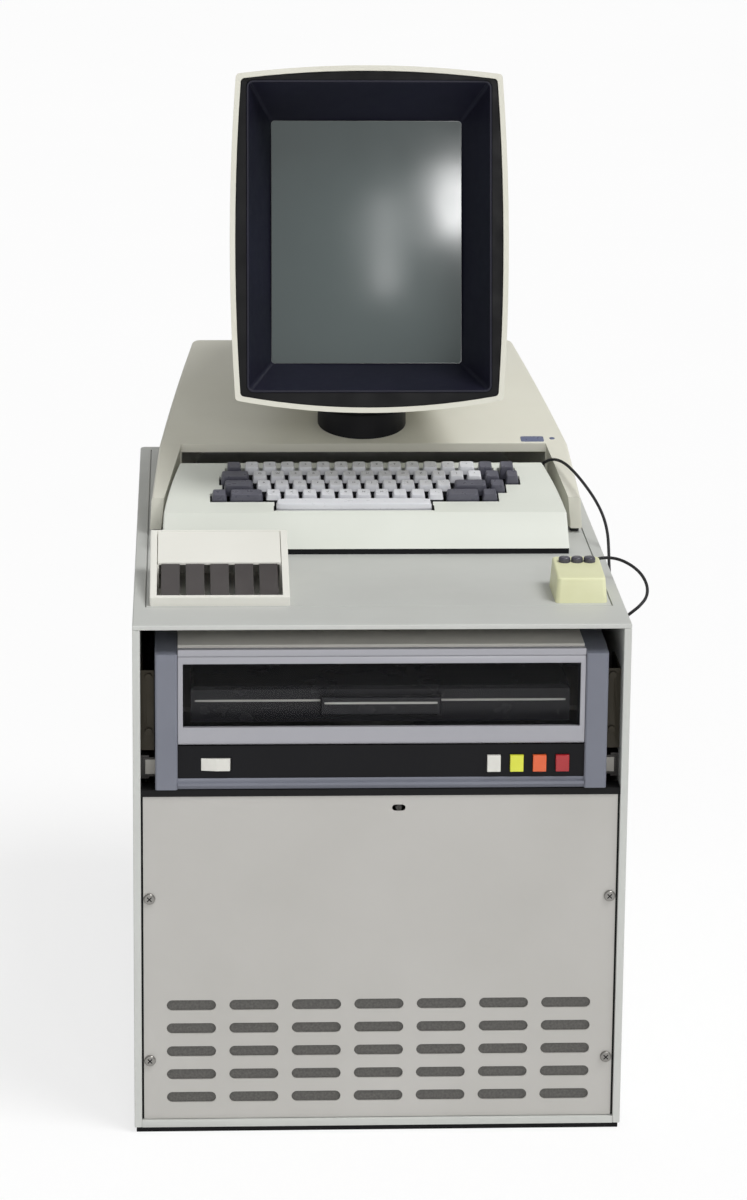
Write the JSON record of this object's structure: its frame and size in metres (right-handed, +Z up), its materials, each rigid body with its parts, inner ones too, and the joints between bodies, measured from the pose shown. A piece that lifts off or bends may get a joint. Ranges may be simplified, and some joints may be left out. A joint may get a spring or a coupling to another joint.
{
  "type": "vintage computer workstation",
  "caption": "Floor cabinet with pull-out disk drive and slotted front panel, carrying a swivelling portrait monitor, keyboard, chord keyset and button mouse with cord.",
  "frame": {"origin": "on the floor, under the middle of the cabinet", "axes": "+X to the right seen from the front, +Y towards the back, +Z up"},
  "size_m": [0.5194, 0.762, 1.0278],
  "materials": {
    "cabinet_paint": "satin",
    "panel_paint": "satin",
    "dark_steel": "matte",
    "mesh_grey": "matte",
    "bright_steel": "brushed",
    "olive_steel": "satin",
    "board_green": "matte",
    "bare_aluminium": "satin",
    "black_plastic": "matte",
    "bezel_dark": "matte",
    "bar_paint": "satin",
    "trim_silver": "satin",
    "smoked_pane": "gloss",
    "lamp_white": "gloss",
    "lamp_yellow": "gloss",
    "lamp_orange": "gloss",
    "button_red": "gloss",
    "cartridge": "gloss",
    "hood_cream": "satin",
    "keyboard_shell": "satin",
    "light_keys": "satin",
    "dark_keys": "satin",
    "keyset_cream": "satin",
    "paddle_dark": "satin",
    "mouse_cream": "satin",
    "mouse_buttons": "gloss",
    "rubber": "matte",
    "tube_glass": "gloss"
  },
  "bodies": {
    "cabinet": {"side_panels": "cabinet_paint", "top_rim": "cabinet_paint", "top_lid": "cabinet_paint", "rear_panel": "cabinet_paint", "base_tray": "cabinet_paint", "cabinet_frame": "dark_steel", "lower_panel": "panel_paint", "panel_screws": "bright_steel", "vent_mesh": "mesh_grey", "power_inlet": "black_plastic", "card_cage": "bare_aluminium", "circuit_boards": "board_green", "power_supply": "bare_aluminium", "fan_frame": "black_plastic", "fixed_slide_rails": "bright_steel", "slide_brackets": "olive_steel", "display_base": "hood_cream", "base_feet": "rubber", "pedestal_base": "black_plastic", "keyboard_case": "keyboard_shell", "keyboard_base": "black_plastic", "keyset_case": "keyset_cream", "keyset_cover": "keyset_cream", "keyset_shaft": "bright_steel", "mouse_shell": "mouse_cream", "mouse_cord": "rubber", "cord_glands": "rubber"},
    "panel_latch": {"panel_latch": "bright_steel"},
    "fan_rotor": {"fan_rotor": "black_plastic"},
    "moving_slide_rails": {"moving_slide_rails": "bright_steel"},
    "drive": {"drive_chassis": "bare_aluminium", "drive_bezel": "bar_paint", "drive_top_plate": "bare_aluminium", "control_panel": "black_plastic", "lamp_white": "lamp_white", "lamp_yellow": "lamp_yellow", "lamp_orange": "lamp_orange", "disk_cartridge": "cartridge"},
    "drive_spindle": {"drive_spindle": "bright_steel"},
    "rocker_switch": {"rocker_switch": "lamp_white"},
    "red_button": {"red_button": "button_red"},
    "door": {"window_frame": "trim_silver", "window_pane": "smoked_pane"},
    "swivel_post": {"swivel_post": "bright_steel"},
    "monitor": {"monitor_shell": "hood_cream", "monitor_bezel": "bezel_dark", "crt_tube": "tube_glass", "monitor_back": "hood_cream"},
    "letter_keys": {"letter_keys": "light_keys"},
    "number_keys": {"number_keys": "light_keys"},
    "dark_keys": {"dark_keys": "dark_keys"},
    "space_bar": {"space_bar": "light_keys"},
    "paddle_1": {"paddle_1": "paddle_dark"},
    "paddle_2": {"paddle_2": "paddle_dark"},
    "paddle_3": {"paddle_3": "paddle_dark"},
    "paddle_4": {"paddle_4": "paddle_dark"},
    "paddle_5": {"paddle_5": "paddle_dark"},
    "mouse_button_left": {"mouse_button_left": "mouse_buttons"},
    "mouse_button_middle": {"mouse_button_middle": "mouse_buttons"},
    "mouse_button_right": {"mouse_button_right": "mouse_buttons"}
  },
  "joints": [
    {"name": "latch_turn", "type": "hinge", "parent": "cabinet", "child": "panel_latch", "pos_m": [0.0177, -0.374, 0.3409], "axis": [0, 1, 0], "range_deg": [0, 90]},
    {"name": "fan_spin", "type": "hinge", "parent": "cabinet", "child": "fan_rotor", "pos_m": [0.1485, -0.2673, 0.1164], "axis": [0, 1, 0], "continuous": true},
    {"name": "drive_slide", "type": "slide", "parent": "cabinet", "child": "drive", "axis": [0, -1, 0], "range_m": [0, 0.4]},
    {"name": "rails_slide", "type": "slide", "parent": "cabinet", "child": "moving_slide_rails", "axis": [0, -1, 0], "range_m": [0, 0.2]},
    {"name": "spindle_spin", "type": "hinge", "parent": "drive", "child": "drive_spindle", "pos_m": [0, -0.162, 0.394], "axis": [0, 0, 1], "continuous": true},
    {"name": "rocker_turn", "type": "hinge", "parent": "drive", "child": "rocker_switch", "pos_m": [-0.163, -0.3715, 0.38625], "axis": [0, 0, 1], "range_deg": [0, 8]},
    {"name": "button_press", "type": "slide", "parent": "drive", "child": "red_button", "axis": [0, 1, 0], "range_m": [0, 0.002], "stiffness_N_per_m": 300, "springref_m": -0.002},
    {"name": "door_hinge", "type": "hinge", "parent": "drive", "child": "door", "pos_m": [0, -0.374, 0.4103], "axis": [1, 0, 0], "range_deg": [0, 85]},
    {"name": "monitor_swivel", "type": "hinge", "parent": "cabinet", "child": "swivel_post", "pos_m": [0, 0.109, 0.641], "axis": [0, 0, 1], "range_deg": [-45, 45]},
    {"name": "monitor_tilt", "type": "hinge", "parent": "swivel_post", "child": "monitor", "pos_m": [0, 0.109, 0.66], "axis": [1, 0, 0], "range_deg": [-8, 12]},
    {"name": "letter_press", "type": "slide", "parent": "cabinet", "child": "letter_keys", "axis": [0, 0.243, -0.97], "range_m": [0, 0.0038], "stiffness_N_per_m": 2000, "springref_m": -0.002},
    {"name": "number_press", "type": "slide", "parent": "cabinet", "child": "number_keys", "axis": [0, 0.243, -0.97], "range_m": [0, 0.0038], "stiffness_N_per_m": 1000, "springref_m": -0.002},
    {"name": "dark_press", "type": "slide", "parent": "cabinet", "child": "dark_keys", "axis": [0, 0.243, -0.97], "range_m": [0, 0.0038], "stiffness_N_per_m": 1000, "springref_m": -0.002},
    {"name": "space_press", "type": "slide", "parent": "cabinet", "child": "space_bar", "axis": [0, 0.243, -0.97], "range_m": [0, 0.0038], "stiffness_N_per_m": 400, "springref_m": -0.002},
    {"name": "paddle_1_rock", "type": "hinge", "parent": "cabinet", "child": "paddle_1", "pos_m": [-0.20795, -0.216, 0.55146], "axis": [1, 0, 0], "range_deg": [0, 3], "stiffness_Nm_per_rad": 0.5, "springref_deg": -5.73},
    {"name": "paddle_2_rock", "type": "hinge", "parent": "cabinet", "child": "paddle_2", "pos_m": [-0.18335, -0.216, 0.55146], "axis": [1, 0, 0], "range_deg": [0, 3], "stiffness_Nm_per_rad": 0.5, "springref_deg": -5.73},
    {"name": "paddle_3_rock", "type": "hinge", "parent": "cabinet", "child": "paddle_3", "pos_m": [-0.15875, -0.216, 0.55146], "axis": [1, 0, 0], "range_deg": [0, 3], "stiffness_Nm_per_rad": 0.5, "springref_deg": -5.73},
    {"name": "paddle_4_rock", "type": "hinge", "parent": "cabinet", "child": "paddle_4", "pos_m": [-0.13415, -0.216, 0.55146], "axis": [1, 0, 0], "range_deg": [0, 3], "stiffness_Nm_per_rad": 0.5, "springref_deg": -5.73},
    {"name": "paddle_5_rock", "type": "hinge", "parent": "cabinet", "child": "paddle_5", "pos_m": [-0.10955, -0.216, 0.55146], "axis": [1, 0, 0], "range_deg": [0, 3], "stiffness_Nm_per_rad": 0.5, "springref_deg": -5.73},
    {"name": "mouse_left_press", "type": "slide", "parent": "cabinet", "child": "mouse_button_left", "axis": [0, 0, -1], "range_m": [0, 0.0015], "stiffness_N_per_m": 400, "springref_m": -0.001},
    {"name": "mouse_middle_press", "type": "slide", "parent": "cabinet", "child": "mouse_button_middle", "axis": [0, 0, -1], "range_m": [0, 0.0015], "stiffness_N_per_m": 400, "springref_m": -0.001},
    {"name": "mouse_right_press", "type": "slide", "parent": "cabinet", "child": "mouse_button_right", "axis": [0, 0, -1], "range_m": [0, 0.0015], "stiffness_N_per_m": 400, "springref_m": -0.001}
  ],
  "couplings": [
    {"joint": "rails_slide", "follows": "drive_slide", "ratio": 0.5}
  ]
}
